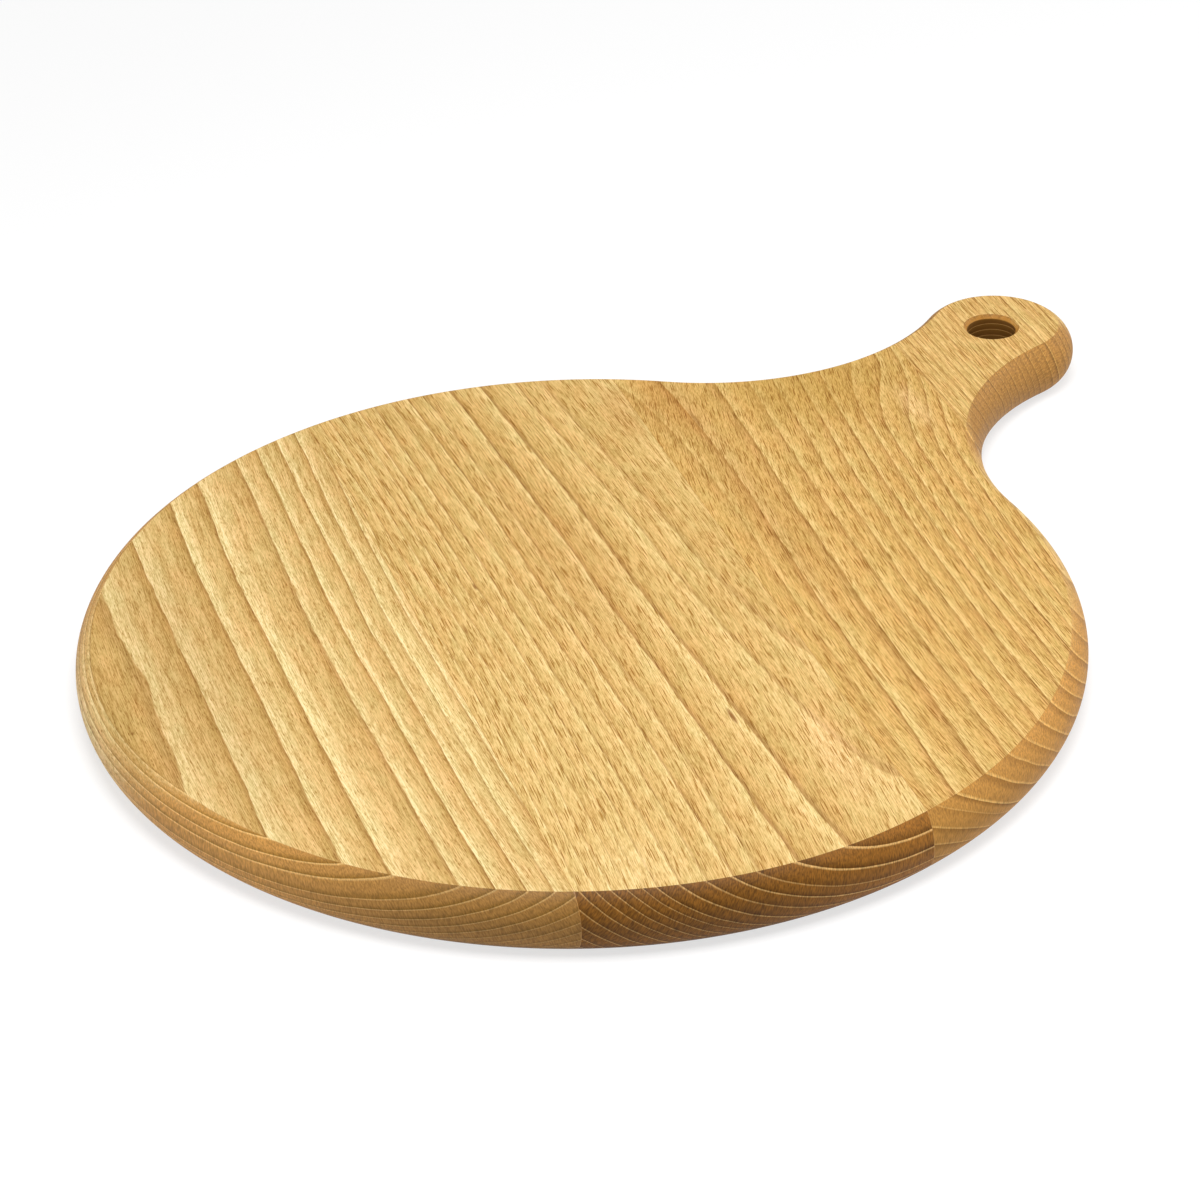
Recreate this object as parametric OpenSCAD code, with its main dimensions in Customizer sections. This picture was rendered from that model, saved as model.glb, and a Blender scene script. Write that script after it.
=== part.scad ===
// Round serving board with a short handle, edge-glued from four beech staves.
// The staves lie askew to the handle, because the handle is cut across the
// corner of the glued panel. The rim is one convex arc from face to face.
// Origin: middle of the board's outline, on its underside. +Y: towards the handle.

/* [Body] */
// Diameter of the round body over the rim
body_d = 305; // [240:5:360]
// Thickness of the board
board_t = 19; // [14:1:21]
// Radius of the convex arc that the rim is shaped to
edge_r = 11; // [10:0.5:20]

/* [Handle] */
// Distance from the middle of the body to the middle of the handle's round end
handle_reach = 231; // [210:1:260]
// Diameter of the handle's round end over the rim
handle_end_d = 53; // [44:1:64]
// Radius of the hollow curves where the body runs into the handle
neck_r = 82; // [60:1:100]

/* [Hanging hole] */
// Diameter of the drilled hole
hole_d = 16.5; // [10:0.5:20]
// Width of the bevel round both mouths of the hole
hole_bevel = 1.2; // [0.5:0.1:2]
// How far the hole sits back from the middle of the handle's round end
hole_setback = 3; // [0:0.5:5]

/* [Staves] */
// Angle of the staves to the board's width, in degrees
stave_angle = -33.8; // [-40:0.1:-20]
// Place of the first glue line, measured across the staves from the body's middle
first_joint = -48; // [-70:1:-30]
// Width of the second stave, the one across the middle
middle_stave_w = 104; // [80:1:120]
// How far the third glue line stays clear of the round body
body_to_joint = 1; // [0.5:0.5:10]
// Thickness of the glue left between two staves
glue_t = 0.15; // [0.1:0.05:0.3]

/* [Hidden] */
$fn = 120;

overrun = 1;
// the hollow curves are cut this far short of touching the two circles, so that no
// cut grazes a rim that is already shaped
curve_gap = 0.01;

body_r = body_d / 2;
end_r = handle_end_d / 2;
board_len = body_r + handle_reach + end_r;
// the body's middle lies this far behind the middle of the whole outline
body_back = board_len / 2 - body_r;

// each neck curve touches the body's circle and the round end's circle, which
// puts its middle here, to either side
body_to_curve = body_r + neck_r;
end_to_curve = end_r + neck_r;
curve_y = (pow(body_to_curve, 2) - pow(end_to_curve, 2) + pow(handle_reach, 2))
          / (2 * handle_reach);
curve_x = sqrt(pow(body_to_curve, 2) - pow(curve_y, 2));

joint_1 = first_joint;
joint_2 = joint_1 + middle_stave_w;
joint_3 = body_r + body_to_joint;

// Everything is shaped a little taller than the board, and trimmed to the two faces
// when it is told apart into staves.
module tall_square(width) {
    translate([0, -overrun]) square([width, board_t + 2 * overrun]);
}

// Full round board of radius r, with its arc-shaped rim.
module disc(r) {
    rotate_extrude() intersection() {
        tall_square(r);
        union() {
            tall_square(r - edge_r);
            translate([r - edge_r, board_t / 2]) circle(r = edge_r);
        }
    }
}

// Square-edged wood for the neck. Its corners are the middles of the body, of the two
// hollow curves and of the round end, so its sides cross the rim where they touch.
module neck_blank() {
    translate([0, 0, -overrun]) linear_extrude(board_t + 2 * overrun)
        polygon([[0, 0], [curve_x, curve_y], [0, handle_reach], [-curve_x, curve_y]]);
}

// What is cut away for one hollow curve, with the rim's arc turned inwards.
module curve_cutter() {
    cut_r = neck_r - curve_gap;
    rotate_extrude() difference() {
        tall_square(cut_r + edge_r);
        translate([cut_r + edge_r, board_t / 2]) circle(r = edge_r);
    }
}

// The drilled hole with a bevel at each mouth.
module hanging_hole() {
    mouth_r = hole_d / 2 + hole_bevel;
    translate([0, handle_reach - hole_setback, 0]) rotate_extrude()
        polygon([[0, -overrun], [mouth_r + overrun, -overrun],
                 [hole_d / 2, hole_bevel], [hole_d / 2, board_t - hole_bevel],
                 [mouth_r + overrun, board_t + overrun], [0, board_t + overrun]]);
}

// The shaped and drilled board before it is told apart into staves, with the middle
// of the body at the origin.
module whole_board() {
    difference() {
        union() {
            disc(body_r);
            translate([0, handle_reach, 0]) disc(end_r);
            neck_blank();
        }
        for (side = [-1, 1])
            translate([side * curve_x, curve_y, 0]) curve_cutter();
        hanging_hole();
    }
}

// The strip of the board between two lines along the staves, trimmed to both faces.
module strip(low, high) {
    translate([0, -body_back, 0]) intersection() {
        whole_board();
        rotate([0, 0, stave_angle])
            translate([-board_len, low, 0])
            cube([2 * board_len, high - low, board_t]);
    }
}

// The film of glue between two staves, centred on a line along them.
module glue_line(joint) {
    color("#c99f5e") strip(joint - glue_t / 2, joint + glue_t / 2);
}

// Outermost stave, a segment of the round body at the end away from the handle.
module outer_stave() {
    color("#e6b968") strip(-board_len, joint_1 - glue_t / 2);
}

// Stave across the middle of the body.
module middle_stave() {
    color("#dfae62") strip(joint_1 + glue_t / 2, joint_2 - glue_t / 2);
}

// Stave that holds the rest of the body and the root of the handle.
module neck_stave() {
    color("#d8a453") strip(joint_2 + glue_t / 2, joint_3 - glue_t / 2);
}

// Stave that holds the end of the handle and its hole.
module handle_stave() {
    color("#dba95a") strip(joint_3 + glue_t / 2, board_len);
}

outer_stave();
middle_stave();
neck_stave();
handle_stave();
glue_line(joint_1);  // glue_line_1
glue_line(joint_2);  // glue_line_2
glue_line(joint_3);  // glue_line_3
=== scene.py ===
import math

import bpy
import numpy as np
from mathutils import Matrix, Vector


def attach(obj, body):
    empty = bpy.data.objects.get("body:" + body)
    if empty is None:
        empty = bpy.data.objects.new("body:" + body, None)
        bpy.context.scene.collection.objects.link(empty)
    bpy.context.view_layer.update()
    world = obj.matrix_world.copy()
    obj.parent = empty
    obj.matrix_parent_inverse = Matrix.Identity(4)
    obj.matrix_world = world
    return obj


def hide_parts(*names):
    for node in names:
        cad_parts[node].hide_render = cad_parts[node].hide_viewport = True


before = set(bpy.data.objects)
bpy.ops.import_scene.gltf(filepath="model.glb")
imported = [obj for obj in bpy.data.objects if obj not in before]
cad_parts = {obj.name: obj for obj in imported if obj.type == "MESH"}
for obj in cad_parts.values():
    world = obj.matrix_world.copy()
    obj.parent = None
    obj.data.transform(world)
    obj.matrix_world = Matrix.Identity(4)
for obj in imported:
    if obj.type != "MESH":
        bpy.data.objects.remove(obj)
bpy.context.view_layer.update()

# Outer stave
# A beech plank at the end away from the handle, sawn well out from the pith, so that its
# growth rings cross the face in wide bands. It is glued to its neighbour, and its rim is
# shaped and sanded with the whole board.

# the whole board, in mm
mm = 0.001
thickness = 19.0
body_radius = 152.5
rim_radius = 11.0
worn_arris_radius = 0.5
handle_reach = 231.0
handle_end_radius = 26.5
body_middle = np.array([0.0, body_radius - (body_radius + handle_reach + handle_end_radius) / 2])

# the staves lie askew to the handle, and joints are places across them from the body's middle
stave_turn = math.radians(-33.8)
along = np.array([math.cos(stave_turn), math.sin(stave_turn)])
across = np.array([-math.sin(stave_turn), math.cos(stave_turn)])
glue_thickness = 0.15
half_glue = glue_thickness / 2
joint_1 = -48.0

# how finely the curves are divided, and the fold from which an edge is drawn sharp
rim_step = 1.6
arc_points, worn_points = 15, 6
sharp_fold = math.radians(35)

# each circle of the outline: middle, radius, and 1 where wood is inside it, -1 where outside
body = (np.zeros(2), body_radius, 1)


def in_staves(point):
    """A point measured along and across the staves, from the body's middle."""
    return np.array([point @ along, point @ across])


def rim_profile():
    """The rim's section from the underside up, as inset and height: one arc about the middle
    of the thickness, with a small arc of the worn arris tangent to it and to each face."""
    half, soft = thickness / 2, worn_arris_radius
    reach, rise = math.sqrt((rim_radius - soft) ** 2 - (half - soft) ** 2), half - soft
    turn = math.atan2(rise, reach)
    main = np.linspace(0, turn, arc_points)
    worn = np.linspace(turn, math.pi / 2, worn_points)[1:]
    out = np.concatenate([rim_radius * np.cos(main), reach + soft * np.cos(worn)])
    up = np.concatenate([rim_radius * np.sin(main), rise + soft * np.sin(worn)])
    inset = rim_radius - np.concatenate([out[:0:-1], out])
    return inset, half + np.concatenate([-up[:0:-1], up])


inset, height = rim_profile()


def crossing(circle, line, right):
    """Angle at which a circle, drawn in by each inset of the rim, crosses a line along the
    staves, on its right or its left half: the arc sine of the height over the radius."""
    middle, radius, side = circle
    turn = np.arcsin((line - middle[1]) / (radius - side * inset))
    return turn if right else math.pi - turn


def carry(*arcs):
    """The rim's section carried along arcs, each a circle with its first and last angle: every
    height has its own circle, so both ends lie in the plane of a joint. Height by place."""
    parts = []
    for (middle, radius, side), first, last in arcs:
        first, last = first + 0 * inset, last + 0 * inset
        count = 1 + max(2, math.ceil(abs(last[0] - first[0]) * radius / rim_step))
        share = np.linspace(0, 1, count)
        turn = first[:, None] + (last - first)[:, None] * share
        reach = (radius - side * inset)[:, None]
        place = np.stack([middle[0] + reach * np.cos(turn), middle[1] + reach * np.sin(turn)], 2)
        parts.append(place[:, 1:] if parts else place)
    return np.concatenate(parts, 1)


def shell(name, rims, bore=None):
    """A stave as a closed shell: its rims in turn counter-clockwise, a flat wall at each joint
    from the end of one rim to the start of the next, and the two faces that the rims bound.
    A bore gives the points and quads of its wall, and both faces split where it meets them.
    A point of the staves lies on the board at the body's middle plus its way along and across."""
    points, faces, upper, lower, ends = [], [], [], [], []
    rows, first = len(inset), 0
    for rim in rims:
        count = rim.shape[1]
        index = first + np.arange(rows * count).reshape(rows, count)
        first += rows * count
        levels = np.broadcast_to(height[:, None, None], (rows, count, 1))
        points.append(np.concatenate([rim, levels], 2))
        quads = np.stack([index[:-1, :-1], index[:-1, 1:], index[1:, 1:], index[1:, :-1]], 2)
        faces += quads.reshape(-1, 4).tolist()
        upper.append(index[-1])
        lower.append(index[0])
        ends.append((index[:, 0], index[:, -1]))
    following = ends[1:] + ends[:1]
    walls = [np.concatenate([here[1], there[0][::-1]]) for here, there in zip(ends, following)]
    upper, lower = np.concatenate(upper), np.concatenate(lower)
    caps = [upper, lower[::-1]]
    if bore:
        wall, quads, caps = bore(points[0][-1, :, :2], upper, lower, first)
        points.append(wall)
        faces += quads
    curved = len(faces)
    faces += [list(map(int, polygon)) for polygon in caps + walls]
    points = np.concatenate([part.reshape(-1, 3) for part in points])
    board = body_middle + points[:, :1] * along + points[:, 1:2] * across
    mesh = bpy.data.meshes.new(name)
    mesh.from_pydata(np.column_stack([board, points[:, 2]]) * mm, [], faces)
    mesh.polygons.foreach_set("use_smooth", np.arange(len(faces)) < curved)
    mesh.set_sharp_from_angle(angle=sharp_fold)
    piece = bpy.data.objects.new(name, mesh)
    bpy.context.scene.collection.objects.link(piece)
    return piece


def linear(colour):
    """An sRGB hex colour as linear light: each channel undone by the sRGB curve."""
    parts = [int(colour[k:k + 2], 16) / 255 for k in (1, 3, 5)]
    return [c / 12.92 if c <= 0.04045 else ((c + 0.055) / 1.055) ** 2.4 for c in parts] + [1.0]


def add(tree, kind, inputs=(), out=0, **settings):
    """One node, and of its outputs the one asked for. The inputs are constants or outputs of
    other nodes, listed in order or named; stops fill a colour ramp, and points a curve."""
    node = tree.nodes.new("ShaderNode" + kind)
    for key, value in settings.items():
        if key == "stops":
            while len(node.color_ramp.elements) < len(value):
                node.color_ramp.elements.new(0.5)
            for element, (place, colour) in zip(node.color_ramp.elements, value):
                element.position, element.color = place, colour
        elif key == "points":
            curve = node.mapping.curves[0]
            while len(curve.points) < len(value):
                curve.points.new(0.5, 0.5)
            for point, place in zip(curve.points, value):
                point.location, point.handle_type = place, "VECTOR"
            node.mapping.update()
        else:
            setattr(node, key, value)
    for key, value in inputs.items() if isinstance(inputs, dict) else enumerate(inputs):
        if isinstance(value, bpy.types.NodeSocket):
            tree.links.new(value, node.inputs[key])
        else:
            node.inputs[key].default_value = value
    return node if out is None else node.outputs[out]


def hump(tree, place, middle, scale, edge, core, top):
    """A smooth hump about a middle: the distance from it, counted in the hump's own half sizes,
    gives nothing at the edge and the top value at the core."""
    away = add(tree, "VectorMath", [place, [*middle, 0]], operation="SUBTRACT")
    away = add(tree, "VectorMath", [away, scale], operation="MULTIPLY")
    away = add(tree, "VectorMath", [away], out="Value", operation="LENGTH")
    return add(tree, "MapRange", [away, edge, core, 0.0, top], interpolation_type="SMOOTHSTEP")


# a bow of 1 mm in 100 mm along, for each mm along squared
bow_unit = 1e-4


def straighten(tree, place, pith, lean, bow):
    """Place in the stave measured from the pith, with the grain drawn straight: the pith's
    place, its lean times the length and its bow times the length squared are taken away."""
    length = add(tree, "SeparateXYZ", [place])
    bend = add(tree, "Math", [length, length], operation="MULTIPLY")
    grain = add(tree, "VectorMath", [place, [0, *pith]], operation="SUBTRACT")
    grain = add(tree, "VectorMath", [length, [0, -lean[0], -lean[1]], grain], operation="MULTIPLY_ADD")
    return add(tree, "VectorMath", [bend, [0, -bow[0] * bow_unit, -bow[1] * bow_unit], grain],
               operation="MULTIPLY_ADD")


# the trunk grew a little crooked, so the rings wander over a hand's width and ripple: length
# of each sway, and its size across and in depth, in mm
sways = ((75, 3.2, 0.5), (13, 0.7, 0.16))


def sway_grain(tree, place, grain, seed):
    """The grain with smooth noise added across and in depth, for each kind of sway. The noise
    is twice as close across and in depth as it is along."""
    for reach, sway, depth_sway in sways:
        drift = add(tree, "Mapping", {"Vector": place, "Scale": [1 / reach, 2 / reach, 2 / reach],
                                      "Location": [seed + reach] * 3})
        drift = add(tree, "TexNoise", {"Vector": drift, "Scale": 1.0, "Detail": 1.0}, out="Color")
        drift = add(tree, "VectorMath", [drift, [0.5] * 3], operation="SUBTRACT")
        grain = add(tree, "VectorMath", [drift, [0, sway, depth_sway], grain], operation="MULTIPLY_ADD")
    return grain


# rings that don't reach the face's middle have lines of a middling strength
common_strength = 0.7


def ring_radii(pith, lines, inside, outside):
    """Radii of the growth rings, from the places where their lines cross the middle of the
    face: the long side of the triangle between that place and the pith. Rings of the mean
    width follow inside and outside, because the plank is cut from a larger tree."""
    places, strengths = np.array(lines, float).T
    radii = np.hypot(places - pith[0], pith[1])
    order = np.argsort(radii)
    radii, strengths = radii[order], strengths[order]
    step = (radii[-1] - radii[0]) / (len(radii) - 1)
    before = radii[0] - step * np.arange(inside, 0, -1)
    after = radii[-1] + step * np.arange(1, outside + 1)
    return (np.concatenate([before, radii, after]),
            np.pad(strengths, (inside, outside), constant_values=common_strength))


def growth_rings(tree, grain, pith, lines, beyond):
    """The distance from the pith, the mean radius of the rings, the part of its year in which
    the wood at that distance grew, and how strong that year's line is. Two curves turn the
    distance into a count of years and into the strength."""
    spoke = add(tree, "VectorMath", [grain, [0, 1, 1]], operation="MULTIPLY")
    radius = add(tree, "VectorMath", [spoke], out="Value", operation="LENGTH")
    radii, strengths = ring_radii(pith, lines, *beyond)
    share = add(tree, "MapRange", [radius, radii[0], radii[-1], 0.0, 1.0])
    shares = (radii - radii[0]) / (radii[-1] - radii[0])
    last = len(radii) - 1
    counts = np.arange(last + 1) / last
    years = add(tree, "FloatCurve", {"Value": share}, points=list(zip(shares, counts)))
    years = add(tree, "Math", [years, float(last)], operation="MULTIPLY")
    season = add(tree, "Math", [years], operation="FRACT")
    strength = add(tree, "FloatCurve", {"Value": share}, points=list(zip(shares, strengths)))
    return radius, float(radii.mean()), season, strength


# noise keeps mostly within these values
noise_low, noise_high = 0.3, 0.7
# patches of the wood lean to pink and others to yellow, over these mm along and across
cast_length, cast_width = 14, 5
pink_cast, yellow_cast = [1.0, 0.96, 0.92, 1.0], [0.94, 0.99, 0.95, 1.0]
# half depth of a knot or patch in mm, and its soft edge and full core as shares of its half sizes
mark_depth = 6
mark_edge, mark_core = 1.1, 0.2


def sawn_face(tree, place, rings, tones, late_share, marks, seed):
    """Colour of the wood cut along the grain. A year begins pale, is plain for most of its
    width, and ends in the dark line of its late wood. The casts and the marks lie over it."""
    _, _, season, strength = rings
    line, deep, plain, pale = [linear(tone) for tone in tones]
    onset, dark, close = 1 - 1.7 * late_share, 1 - 0.8 * late_share, 1 - 0.25 * late_share
    year = add(tree, "ValToRGB", [season],
               stops=[(0.0, pale), (0.06, pale), (0.38, plain), (0.6, plain), (onset, deep),
                      (dark, line), (close, line), (1.0, pale)])
    face = add(tree, "MixRGB", [strength, plain, year])
    cast = add(tree, "Mapping", {"Vector": place, "Location": [seed] * 3,
                                 "Scale": [1 / cast_length, 1 / cast_width, 1 / cast_width]})
    cast = add(tree, "TexNoise", {"Vector": cast, "Scale": 1.0, "Detail": 2.0})
    cast = add(tree, "ValToRGB", [cast], stops=[(noise_low, pink_cast), (noise_high, yellow_cast)])
    face = add(tree, "MixRGB", [1.0, face, cast], blend_type="MULTIPLY")
    for mark_along, mark_across, half_length, half_width, colour, power in marks:
        mark = hump(tree, place, (mark_along, mark_across),
                    [1 / half_length, 1 / half_width, 1 / mark_depth], mark_edge, mark_core, power)
        face = add(tree, "MixRGB", [mark, face, linear(colour)])
    return face


# kinds of fibre: length and width in mm, and how far each lightens and darkens the wood. They
# are drawn coarser than real ones, which would be too fine to show
fibre_kinds = ((34.0, 1.5, 0.08), (8.0, 0.3, 0.22), (2.0, 0.32, 0.14))
# values of the noise at which a fibre is darkest and lightest
fibre_low, fibre_high = 0.32, 0.68
# a fleck's share of its cell's length and width, and its width's share of the cell's depth
fleck_share, fleck_depth_share = 0.5, 0.15
# distances from its cell's middle of a fleck's soft edge and full core, and the vigour of the
# faintest one
fleck_edge, fleck_core, faintest = 0.32, 0.2, 0.25


def texture(tree, straight, flecks, seed):
    """How light the texture is, about 1: noise drawn out along the straight grain for each kind
    of fibre, times the ray flecks. Rays cut through end up as short dark flecks, one to each
    cell of a stretched pattern, some strong and some faint."""
    tone = None
    for reach, wide, depth in fibre_kinds:
        fibre = add(tree, "Mapping", {"Vector": straight, "Scale": [1 / reach, 1 / wide, 1 / wide],
                                      "Location": [seed + reach] * 3})
        fibre = add(tree, "TexNoise", {"Vector": fibre, "Scale": 1.0, "Detail": 1.0})
        fibre = add(tree, "MapRange", [fibre, fibre_low, fibre_high, 1 - depth, 1 + depth],
                    interpolation_type="SMOOTHSTEP")
        tone = add(tree, "Math", [fibre, tone], operation="MULTIPLY") if tone else fibre
    fleck_length, fleck_width, fleck_strength = flecks
    ray = add(tree, "Mapping", {"Vector": straight, "Location": [seed] * 3,
                                "Scale": [fleck_share / fleck_length, fleck_share / fleck_width,
                                          fleck_depth_share / fleck_width]})
    ray = add(tree, "TexVoronoi", {"Vector": ray, "Scale": 1.0}, out=None).outputs
    fleck = add(tree, "MapRange", [ray["Distance"], fleck_edge, fleck_core, 0.0, fleck_strength],
                interpolation_type="SMOOTHSTEP")
    vigour = add(tree, "MapRange", [ray["Color"], 0.0, 1.0, faintest, 1.0])
    fleck = add(tree, "Math", [fleck, vigour], operation="MULTIPLY")
    fleck = add(tree, "Math", [1.0, fleck], operation="SUBTRACT")
    return add(tree, "Math", [tone, fleck], operation="MULTIPLY")


# what the darkest texture takes from the wood's colour, and the lightest gives to it
fibre_stain, darkest = linear("#bca065"), 0.5
fibre_sheen, lightest = [1.22, 1.24, 1.5, 1.0], 1.35


def textured(tree, face, tone):
    """The face stained the more the darker its texture is, and brightened the more the lighter
    it is."""
    stained = add(tree, "MixRGB", [1.0, face, fibre_stain], blend_type="MULTIPLY")
    dark = add(tree, "MapRange", [tone, 1.0, darkest, 0.0, 1.0])
    face = add(tree, "MixRGB", [dark, face, stained])
    bright = add(tree, "MixRGB", [1.0, face, fibre_sheen], blend_type="MULTIPLY")
    light = add(tree, "MapRange", [tone, 1.0, lightest, 0.0, 1.0])
    return add(tree, "MixRGB", [light, face, bright])


# rays cross the end grain as fine spokes: their length out from the pith, width and depth in mm
spoke_length, spoke_width, spoke_depth = 1.8, 0.35, 0.8


def end_grain(tree, place, grain, rings, end_tones, spokes, fade):
    """Colour of the wood cut across the grain, which drinks the oil and turns brown. Its spokes
    are noise on the distance from the pith, the arc round it and the length, and it fades
    evenly from one place to another in a given direction."""
    radius, mean_radius, season, strength = rings
    deep, plain, pale = [linear(tone) for tone in end_tones]
    end = add(tree, "ValToRGB", [season],
              stops=[(0.0, pale), (0.04, pale), (0.12, plain), (0.6, plain), (0.93, deep),
                     (0.98, deep), (1.0, pale)])
    end = add(tree, "MixRGB", [strength, plain, end])
    length = add(tree, "SeparateXYZ", [place])
    parts = add(tree, "SeparateXYZ", [grain]).node.outputs
    turn = add(tree, "Math", [parts[2], parts[1]], operation="ARCTAN2")
    arc = add(tree, "Math", [turn, mean_radius], operation="MULTIPLY")
    polar = add(tree, "CombineXYZ", [radius, arc, length])
    polar = add(tree, "Mapping", {"Vector": polar,
                                  "Scale": [1 / spoke_length, 1 / spoke_width, 1 / spoke_depth]})
    polar = add(tree, "TexNoise", {"Vector": polar, "Scale": 1.0, "Detail": 1.0})
    polar = add(tree, "MapRange", [polar, noise_low, noise_high, 1 - spokes, 1 + spokes])
    end = add(tree, "MixRGB", [1.0, end, polar], blend_type="MULTIPLY")
    way, (dark_place, dark_share), (pale_place, pale_share) = fade
    reach = add(tree, "VectorMath", [place, [*way, 0]], out="Value", operation="DOT_PRODUCT")
    paleness = add(tree, "MapRange", [reach, dark_place, pale_place, dark_share, pale_share])
    return add(tree, "MixRGB", [1.0, end, paleness], blend_type="MULTIPLY")


# how much of its normal lies along the staves where a surface counts as cut along the grain,
# and where it counts as cut across
cut_along, cut_across = 0.02, 0.36
# the texture is felt as fine grooves, this deep in mm and this plain to see
groove_depth, groove_height, groove_strength = 0.1, 0.8, 0.25
# roughness of the grooves and of the wood between them, at these tones of the texture
groove_tone, groove_rough = 0.6, 0.62
wood_tone, wood_rough = 1.4, 0.48
# the end grain shines less than the face
face_gloss, end_gloss = 0.35, 0.2
beech_ior = 1.47


def sanded_beech(name, pith, lean, bow, lines, beyond, tones, end_tones, fade, spokes, late_share,
                 flecks, marks, seed, swell=None):
    """Solid beech, planed, sanded and oiled, which gives the eye a satin gold face with brown
    ring lines and short dark flecks, and a browner, duller rim where it is cut across.
    pith, lean and bow: where the pith runs, across and up from the face in mm, its drift per
    mm along, and its bow in mm per 100 mm along squared.
    lines and beyond: place and strength of each ring line on the middle of the face, and how
    many more rings lie inside and outside them.
    tones and end_tones: ring line, late, plain and early wood, and the last three cut across.
    fade: a direction, and twice a place that way with the brightness of the end grain there.
    spokes and late_share: strength of the rays cut across, and the dark part of a year.
    flecks: length, width and strength of the rays cut along.
    marks: knots, pin marks and stained or pale patches, each its middle along and across,
    half length, half width, colour and strength.
    swell: where a branch pushes the rings aside: middle, half length, half width and push."""
    material = bpy.data.materials.new(name)
    material.use_nodes = True
    tree = material.node_tree
    tree.nodes.clear()

    # place in the stave in mm: along, across, and up from the face
    shift = -in_staves(body_middle)
    own = add(tree, "TexCoord", out="Object")
    place = add(tree, "Mapping", {"Vector": own, "Scale": [1 / mm] * 3, "Rotation": [0, 0, -stave_turn],
                                  "Location": [shift[0], shift[1], -thickness]},
                name="place in the stave")
    straight = straighten(tree, place, pith, lean, bow)
    grain = straight
    if swell:
        middle, half_length, half_width, push = swell
        aside = hump(tree, place, middle, [1 / half_length, 1 / half_width, 0], 1.0, 0.0, -push)
        grain = add(tree, "VectorMath", [aside, [0, 1, 0], grain], operation="MULTIPLY_ADD")
    grain = sway_grain(tree, place, grain, seed)
    rings = growth_rings(tree, grain, pith, lines, beyond)
    tone = texture(tree, straight, flecks, seed)
    face = textured(tree, sawn_face(tree, place, rings, tones, late_share, marks, seed), tone)
    end = end_grain(tree, place, grain, rings, end_tones, spokes, fade)

    normal = add(tree, "TexCoord", out="Normal")
    end_on = add(tree, "VectorMath", [normal, [*along, 0]], out="Value", operation="DOT_PRODUCT")
    end_on = add(tree, "Math", [end_on], operation="ABSOLUTE")
    end_on = add(tree, "MapRange", [end_on, cut_along, cut_across, 0.0, 1.0],
                 interpolation_type="SMOOTHSTEP")
    wood = add(tree, "MixRGB", [end_on, face, end])
    relief = add(tree, "Math", [tone, groove_height], operation="MULTIPLY")
    bump = add(tree, "Bump", {"Strength": groove_strength, "Distance": groove_depth * mm,
                              "Height": relief})
    rough = add(tree, "MapRange", [tone, groove_tone, wood_tone, groove_rough, wood_rough])
    gloss = add(tree, "MapRange", [end_on, 0.0, 1.0, face_gloss, end_gloss])
    shader = add(tree, "BsdfPrincipled", {"Base Color": wood, "Roughness": rough, "IOR": beech_ior,
                                          "Specular IOR Level": gloss, "Normal": bump})
    add(tree, "OutputMaterial", [shader], out=None)
    return material


def seat(piece, node, material):
    """The piece stands for its CAD node, rides on the one body and takes its finish."""
    piece.data.materials.append(material)
    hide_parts(node)
    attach(piece, "root")


edge = joint_1 - half_glue
outer = shell("outer_stave_shaped", [
    carry((body, crossing(body, edge, False), crossing(body, edge, True) + math.tau))])
# on this stave the end grain's fade is painted light: darker on the rim toward the first joint at the
# front as painted shade, and paler over the rest of the rim as painted light, the far edge's painted
# reflection with it
outer_beech = sanded_beech(
    "outer beech, sanded and oiled", pith=(-147, 203.7), lean=(0, 0), bow=(2.6, 0.3),
    lines=[(-132.2, 0.8), (-119, 1), (-104, 1), (-93.5, 1), (-78.5, 0.8), (-70.5, 1), (-63, 0.9),
           (-56.5, 0.9), (-50.2, 0.9)],
    beyond=(2, 8), tones=("#b38a4c", "#c69e5b", "#d8b473", "#ebd093"),
    end_tones=("#91682a", "#b18142", "#d4a967"), fade=((1, 0), (128, 0.76), (88, 1.16)),
    spokes=0.26, late_share=0.07, flecks=(1.6, 0.3, 0.4),
    marks=[(21.5, -143, 1.2, 0.6, "#8a5a24", 0.9), (30, -54, 130, 6, "#f0dc98", 0.25),
           (0, -121, 125, 25, "#a27e3e", 0.3), (25, -146, 60, 6, "#a07d38", 0.4)], seed=1.3)
seat(outer, "outer_stave", outer_beech)

# Middle stave
# The wide plank of beech across the middle of the body, glued at both long edges. Its rings
# open out into broad flames at the far joint and close up to fine lines at the near one, and
# rays speckle it with short dashes.
middle_stave_width = 104.0
joint_2 = joint_1 + middle_stave_width
near_edge, far_edge = joint_1 + half_glue, joint_2 - half_glue
middle = shell("middle_stave_shaped", [
    carry((body, crossing(body, near_edge, True), crossing(body, far_edge, True))),
    carry((body, crossing(body, far_edge, False), crossing(body, near_edge, False)))])
middle_beech = sanded_beech(
    "middle beech, sanded and oiled", pith=(64, 114), lean=(-0.017, 0.024), bow=(-2.3, 0.6),
    lines=[(45, 0.45), (34.5, 0.55), (20.3, 0.9), (8.8, 1), (-0.6, 0.5), (-6.8, 0.9), (-13.2, 0.6),
           (-19.6, 0.8), (-25.4, 0.8), (-29, 0.6), (-33, 0.7), (-37, 0.7), (-41, 0.6), (-45, 0.7)],
    beyond=(1, 6), tones=("#b0864a", "#caa15c", "#d6b16d", "#e6c684"),
    end_tones=("#603c0c", "#83551d", "#caa062"), fade=((0, 1), (0, 0.92), (48, 1.3)),
    spokes=0.4, late_share=0.085, flecks=(5.8, 0.28, 1.0),
    marks=[(-112, 51, 30, 8, "#b98440", 0.4), (100, 43, 34, 8, "#ecc083", 0.45),
           (72, 22, 5.5, 1.0, "#8a5620", 0.9), (-23, -26.5, 2.8, 0.6, "#8a5a24", 0.9),
           (0, -36.5, 4.5, 0.6, "#96662a", 0.8), (85, -35, 100, 40, "#e2c47e", 0.22),
           (-30, 5, 75, 22, "#c08f4e", 0.3), (139, -30, 26, 20, "#f6d898", 0.3)], seed=7.1)
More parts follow.
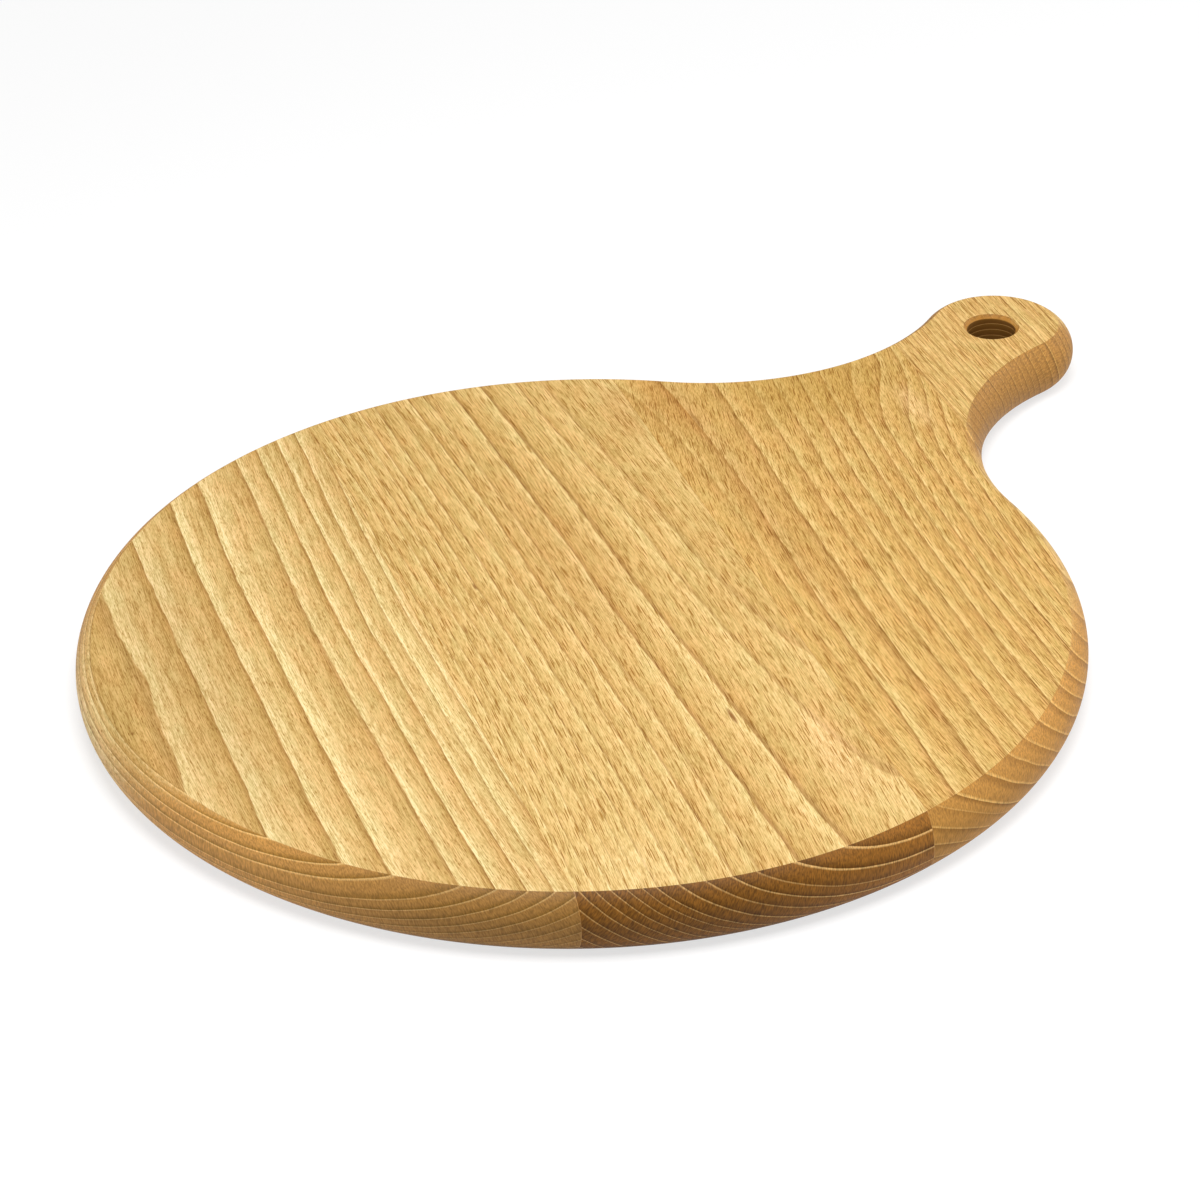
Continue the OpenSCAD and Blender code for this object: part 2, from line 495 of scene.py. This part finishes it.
seat(middle, "middle_stave", middle_beech)

# Neck stave
# The beech plank that holds the last of the body and the root of the handle, whose hollow
# curves are cut once the board is glued. It is a deeper gold, with many dashes, and its rings
# turn the other way, because its pith lies under the board.
neck_radius = 82.0
body_to_joint = 1.0
joint_3 = body_radius + body_to_joint
near_edge, far_edge = joint_2 + half_glue, joint_3 - half_glue


def hollow(side):
    """Middle of a hollow neck curve, which touches the body's circle and the circle of the
    handle's end, so its distances to both middles are the sums of the radii."""
    to_body, to_end = body_radius + neck_radius, handle_end_radius + neck_radius
    y = (to_body ** 2 - to_end ** 2 + handle_reach ** 2) / (2 * handle_reach)
    return np.array([side * math.sqrt(to_body ** 2 - y ** 2), y])


def bearing(start, end):
    """Angle of the line from one point to another."""
    return math.atan2(end[1] - start[1], end[0] - start[0])


hollow_right = (in_staves(hollow(1)), neck_radius, -1)
hollow_left = (in_staves(hollow(-1)), neck_radius, -1)
touch_right = bearing(body[0], hollow_right[0])
touch_left = bearing(body[0], hollow_left[0])
neck = shell("neck_stave_shaped", [
    carry((body, crossing(body, near_edge, True), touch_right),
          (hollow_right, touch_right - math.pi, crossing(hollow_right, far_edge, False) - math.tau)),
    carry((hollow_left, crossing(hollow_left, far_edge, True), touch_left - math.pi),
          (body, touch_left, crossing(body, near_edge, False)))])
neck_beech = sanded_beech(
    "neck beech, sanded and oiled", pith=(17, -111), lean=(-0.077, 0.023), bow=(5.9, -2.7),
    lines=[(63.6, 0.4), (70.5, 1), (82, 0.8), (91.4, 0.6), (98.6, 0.6), (106.2, 0.7), (113.2, 0.8),
           (119.3, 0.7), (124, 0.8), (130.3, 0.8), (135.8, 0.6), (140.4, 0.7)],
    beyond=(6, 9), tones=("#aa7e3e", "#c59856", "#d2a961", "#e2bf7a"),
    end_tones=("#8e6024", "#b4813b", "#d4a75e"), fade=((0, 1), (60, 0.97), (110, 1.12)),
    spokes=0.28, late_share=0.08, flecks=(6.2, 0.28, 1.0),
    marks=[(-108, 118, 34, 44, "#b8903f", 0.45), (-40, 72, 100, 10, "#b98a48", 0.45),
           (-112, 68, 28, 13, "#b5803a", 0.4), (-100, 72.5, 10, 1.0, "#94642a", 0.6),
           (-84, 143, 22, 6, "#ecc58a", 0.35)], seed=12.7, swell=((-120, 147), 76, 26, 10))
seat(neck, "neck_stave", neck_beech)

# Handle stave
# The beech plank that holds the end of the handle. Its rings are narrow and close, and the
# hanging hole is drilled through it and bevelled at both mouths.
hole_radius, hole_bevel, hole_setback, worn_corner = 8.25, 1.2, 3.0, 0.1
hole_sides = 96
near_edge = joint_3 + half_glue
handle_end = (in_staves(np.array([0.0, handle_reach])), handle_end_radius, 1)
end_right = bearing(handle_end[0], hollow_right[0])
end_left = bearing(handle_end[0], hollow_left[0]) + math.tau
hole_middle = in_staves(np.array([0.0, handle_reach - hole_setback]))


def hole_profile():
    """The hole's section from the lower mouth up, as radii and heights: a bevel at each mouth,
    whose corner with the straight wall is worn."""
    radii = np.array([hole_bevel, worn_corner, 0.0, 0.0, worn_corner, hole_bevel]) + hole_radius
    levels = np.array([0.0, hole_bevel - worn_corner, hole_bevel + worn_corner])
    return radii, np.concatenate([levels, thickness - levels[::-1]])


def hanging_hole(outline, upper, lower, first):
    """The hole's section carried round its middle, and each face split in two along a line
    through it, so that neither half has a hole. The line meets the outline once on each side
    of the middle, and there a point of the other side counts as too far off."""
    radii, levels = hole_profile()
    turn = np.arange(hole_sides) * math.tau / hole_sides
    wall = np.stack([hole_middle[0] + radii[:, None] * np.cos(turn),
                     hole_middle[1] + radii[:, None] * np.sin(turn),
                     levels[:, None] + 0 * turn], 2)
    index = first + np.arange(len(radii) * hole_sides).reshape(len(radii), hole_sides)
    beside = np.roll(index, -1, 1)
    quads = np.stack([index[:-1], index[1:], beside[1:], beside[:-1]], 2)
    off_line, too_far = np.abs(outline[:, 1] - hole_middle[1]), 1e3
    start = int(np.argmin(off_line + too_far * (outline[:, 0] < hole_middle[0])))
    stop = int(np.argmin(off_line + too_far * (outline[:, 0] > hole_middle[0])))
    half = hole_sides // 2
    caps = []
    for loop, mouth, up in ((upper, index[-1], True), (lower, index[0], False)):
        far = np.concatenate([loop[start:stop + 1], mouth[half::-1]])
        near = np.concatenate([loop[stop:], loop[:start + 1], mouth[:1], mouth[:half - 1:-1]])
        caps += [far, near] if up else [far[::-1], near[::-1]]
    return wall, quads.reshape(-1, 4).tolist(), caps


handle = shell("handle_stave_shaped", [
    carry((hollow_right, crossing(hollow_right, near_edge, False) - math.tau, end_right - math.pi),
          (handle_end, end_right, end_left),
          (hollow_left, end_left - math.pi, crossing(hollow_left, near_edge, True)))],
    bore=hanging_hole)
handle_beech = sanded_beech(
    "handle beech, sanded and oiled", pith=(90, -45), lean=(0, 0), bow=(0, 0),
    lines=[(155, 0.6), (157.3, 0.3), (159.5, 0.5), (162.2, 0.7), (164.6, 0.3), (167, 0.6), (169.2, 0.4),
           (171.2, 0.5), (173.5, 0.8), (176, 0.3), (178, 0.6), (180.2, 0.4), (182.5, 0.6), (185, 0.3),
           (187.5, 0.5), (190.2, 0.4), (193, 0.6), (195.5, 0.3), (198.5, 0.5), (201.5, 0.8), (206, 0.4)],
    beyond=(4, 5), tones=("#b3884a", "#cea360", "#dab26d", "#e6c580"),
    end_tones=("#7a5121", "#a97939", "#c4984f"), fade=((0, 1), (160, 0.94), (205, 1.06)),
    spokes=0.28, late_share=0.22, flecks=(6.6, 0.28, 0.95),
    marks=[], seed=20.3)

# the hole's wall is dark brown below the bevel, partly from the oil it soaked up and partly as painted
# shade of its depth, and a fine spiral of drill turns shows pale where the drill's edge tore the wood.
# The bevel is bare wood again, darkened by the oil that gathers on it
drill_pitch = 2.2
wall_end = hole_radius + 0.2
bevel_foot, bevel_rise = -1.5, -1.0
bevel_oil, bevel_oil_share = linear("#c98b38"), 0.6
tree = handle_beech.node_tree
shader = tree.nodes["Principled BSDF"]
wood = shader.inputs["Base Color"].links[0].from_socket
place = tree.nodes["place in the stave"].outputs[0]
away = add(tree, "VectorMath", [place, [*hole_middle, 0]], operation="SUBTRACT")
parts = add(tree, "SeparateXYZ", [away]).node.outputs
flat = add(tree, "VectorMath", [away, [1, 1, 0]], operation="MULTIPLY")
flat = add(tree, "VectorMath", [flat], out="Value", operation="LENGTH")
inside = add(tree, "MapRange", [flat, wall_end, hole_radius + hole_bevel, 1.0, 0.0])
turn = add(tree, "Math", [parts[1], parts[0]], operation="ARCTAN2")
groove = add(tree, "Math", [turn, drill_pitch / math.tau, parts[2]], operation="MULTIPLY_ADD")
groove = add(tree, "Math", [groove, 1 / drill_pitch], operation="MULTIPLY")
groove = add(tree, "Math", [groove], operation="FRACT")
# the wall's dark browns are partly painted shade of the hole's depth, with pale lines of the drill's
# turns
oiled_and_shaded_wall = add(tree, "ValToRGB", [groove], stops=[
    (0.0, linear("#d0a468")), (0.07, linear("#94682c")), (0.16, linear("#6a4416")),
    (1.0, linear("#76501c"))])
mouth = add(tree, "MapRange", [parts[2], bevel_foot, bevel_rise, 0.0, 1.0],
            interpolation_type="SMOOTHSTEP")
bevel = add(tree, "MixRGB", [bevel_oil_share, wood, bevel_oil])
bore = add(tree, "MixRGB", [mouth, oiled_and_shaded_wall, bevel])
tree.links.new(add(tree, "MixRGB", [inside, wood, bore]), shader.inputs["Base Color"])
seat(handle, "handle_stave", handle_beech)

# Glue lines
# Films of white wood glue squeezed thin between the planks in the clamps, which set to a hard
# amber and were sanded flush with the wood. They have the planks' own worn arris.
glue = bpy.data.materials.new("set wood glue, sanded flush")
glue.use_nodes = True
tree = glue.node_tree
tree.nodes.clear()
# set glue gives the eye a thin brown thread, blotched over a few mm and a little smoother than
# the wood
blotch_size = 3 * mm
smooth_glue, dull_glue = 0.35, 0.5
glue_ior = 1.46
own = add(tree, "TexCoord", out="Object")
blotch = add(tree, "Mapping", {"Vector": own, "Scale": [1 / blotch_size] * 3})
blotch = add(tree, "TexNoise", {"Vector": blotch, "Scale": 1.0, "Detail": 2.0})
amber = add(tree, "ValToRGB", [blotch], stops=[(0.35, linear("#9a6a2e")), (0.65, linear("#c08c46"))])
rough = add(tree, "MapRange", [blotch, noise_low, noise_high, smooth_glue, dull_glue])
shader = add(tree, "BsdfPrincipled", {"Base Color": amber, "Roughness": rough, "IOR": glue_ior})
add(tree, "OutputMaterial", [shader], out=None)

for node, joint in (("glue_line_1", joint_1), ("glue_line_2", joint_2), ("glue_line_3", joint_3)):
    low, high = joint - half_glue, joint + half_glue
    on_body = joint < body_radius
    right, left = (body, body) if on_body else (hollow_right, hollow_left)
    back = 0.0 if on_body else -math.tau
    film = shell(node + "_film", [
        carry((right, crossing(right, low, on_body) + back, crossing(right, high, on_body) + back)),
        carry((left, crossing(left, high, not on_body), crossing(left, low, not on_body)))])
    seat(film, node, glue)

# Studio
# A seamless white paper floor before a white backdrop, with four soft lamps. Both are white
# where the camera sees them, and grey where they light the board.
white = [1, 1, 1, 1]
floor_size = 30.0
floor_grey = [0.8, 0.8, 0.8, 1]
backdrop_grey = [0.06, 0.06, 0.06, 1]
bpy.ops.mesh.primitive_plane_add(size=floor_size, location=(0, 0, 0))
floor = bpy.context.object
floor.name = "floor"
# matt paper gives the eye an even white, on which the board's shadow is faint: this share of
# the paper is all white within the near reach, and all of it past the far reach, in metres
near_reach, far_reach, near_share = 0.35, 1.0, 0.7
paper = bpy.data.materials.new("white studio paper")
paper.use_nodes = True
tree = paper.node_tree
tree.nodes.clear()
ray = add(tree, "LightPath", out=None).outputs
seen = add(tree, "Math", [ray["Is Camera Ray"], ray["Is Glossy Ray"]], operation="MAXIMUM")
shade = add(tree, "MixRGB", [seen, floor_grey, white])
matt = add(tree, "BsdfPrincipled", {"Base Color": shade, "Roughness": 0.9, "Specular IOR Level": 0.0})
glow = add(tree, "Emission", [white, 1.0])
away = add(tree, "TexCoord", out="Object")
away = add(tree, "VectorMath", [away], out="Value", operation="LENGTH")
whiteness = add(tree, "MapRange", [away, near_reach, far_reach, near_share, 1.0])
whiteness = add(tree, "Math", [seen, whiteness], operation="MULTIPLY")
add(tree, "OutputMaterial", [add(tree, "MixShader", [whiteness, matt, glow])], out=None)
floor.data.materials.append(paper)

world = bpy.data.worlds.new("studio")
bpy.context.scene.world = world
world.use_nodes = True
tree = world.node_tree
tree.nodes.clear()
ray = add(tree, "LightPath", out=None).outputs
seen = add(tree, "Math", [ray["Is Camera Ray"], ray["Is Transmission Ray"]], operation="MAXIMUM")
backdrop = add(tree, "MixRGB", [seen, backdrop_grey, white])
add(tree, "OutputWorld", [add(tree, "Background", [backdrop, 1.0])], out=None)

# square lamps: place in metres, width and power. They and the camera point at the target
target = Vector((-0.0176, -0.0209, 0.0))
for name, place, size, power in (("key", (0.15, -0.17, 1.08), 0.6, 13.6),
                                 ("back", (0.35, 1.2, 0.6), 0.6, 5.6),
                                 ("left", (-0.8, -0.95, 0.2), 0.6, 5.0),
                                 ("right", (0.95, 0.75, 0.35), 0.6, 2.8)):
    lamp = bpy.data.lights.new(name, "AREA")
    lamp.size, lamp.energy = size, power
    stand = bpy.data.objects.new(name, lamp)
    stand.location = place
    stand.rotation_euler = (target - Vector(place)).to_track_quat("-Z", "Y").to_euler()
    bpy.context.scene.collection.objects.link(stand)

# Camera
# It looks down on the board from the front right, from the photograph's own place, which was
# worked out from the outline of the body, the handle and the hole.
camera_turn, camera_rise, camera_roll = math.radians(38.28), math.radians(31.18), math.radians(-1.22)
camera_distance = 1.21
sight = Vector((math.sin(camera_turn) * math.cos(camera_rise),
                -math.cos(camera_turn) * math.cos(camera_rise), math.sin(camera_rise)))
camera = bpy.data.cameras.new("camera")
camera.lens, camera.sensor_width = 116.3, 36.0
camera.clip_start, camera.clip_end = 0.05, 50.0
view = bpy.data.objects.new("camera", camera)
aim = (-sight).to_track_quat("-Z", "Y").to_matrix() @ Matrix.Rotation(camera_roll, 3, "Z")
view.matrix_world = Matrix.Translation(target + sight * camera_distance) @ aim.to_4x4()
bpy.context.scene.collection.objects.link(view)
bpy.context.scene.camera = view
bpy.context.scene.view_settings.view_transform = "Standard"
